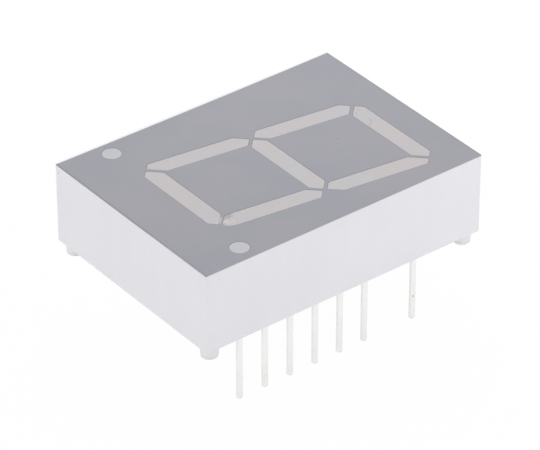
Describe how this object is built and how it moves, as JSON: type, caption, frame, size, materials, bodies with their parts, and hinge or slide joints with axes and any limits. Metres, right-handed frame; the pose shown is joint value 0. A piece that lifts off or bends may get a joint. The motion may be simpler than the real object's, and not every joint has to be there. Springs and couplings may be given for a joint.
{
  "type": "seven segment display",
  "caption": "Boxed single-digit seven segment LED display with two decimal points and two rows of flat solder pins.",
  "frame": {"origin": "centre of the housing's outline in X and Y, at the level of the pin tips in Z", "axes": "+X across the digit to its right, +Y up the digit, +Z out of the lit face"},
  "size_m": [0.02, 0.0276, 0.0152],
  "materials": {
    "white_plastic": "fine matt moulding",
    "grey_ink": "matt printed coat",
    "milky_resin": "diffusing cast resin, satin",
    "tinned_metal": "dull tin plating",
    "led_chip": "smooth crystal",
    "gold_wire": "bright drawn wire"
  },
  "bodies": {
    "root": {"housing": "white_plastic", "face_coat": "grey_ink", "epoxy_fill": "milky_resin", "cathode_frame": "tinned_metal", "spare_lead": "tinned_metal", "anode_lead_a": "tinned_metal", "anode_lead_b": "tinned_metal", "anode_lead_c": "tinned_metal", "anode_lead_d": "tinned_metal", "anode_lead_e": "tinned_metal", "anode_lead_f": "tinned_metal", "anode_lead_g": "tinned_metal", "anode_lead_dp": "tinned_metal", "led_chip_a": "led_chip", "led_chip_b": "led_chip", "led_chip_c": "led_chip", "led_chip_d": "led_chip", "led_chip_e": "led_chip", "led_chip_f": "led_chip", "led_chip_g": "led_chip", "led_chip_dp": "led_chip", "bond_wire_a": "gold_wire", "bond_wire_b": "gold_wire", "bond_wire_c": "gold_wire", "bond_wire_d": "gold_wire", "bond_wire_e": "gold_wire", "bond_wire_f": "gold_wire", "bond_wire_g": "gold_wire", "bond_wire_dp": "gold_wire"}
  },
  "joints": []
}
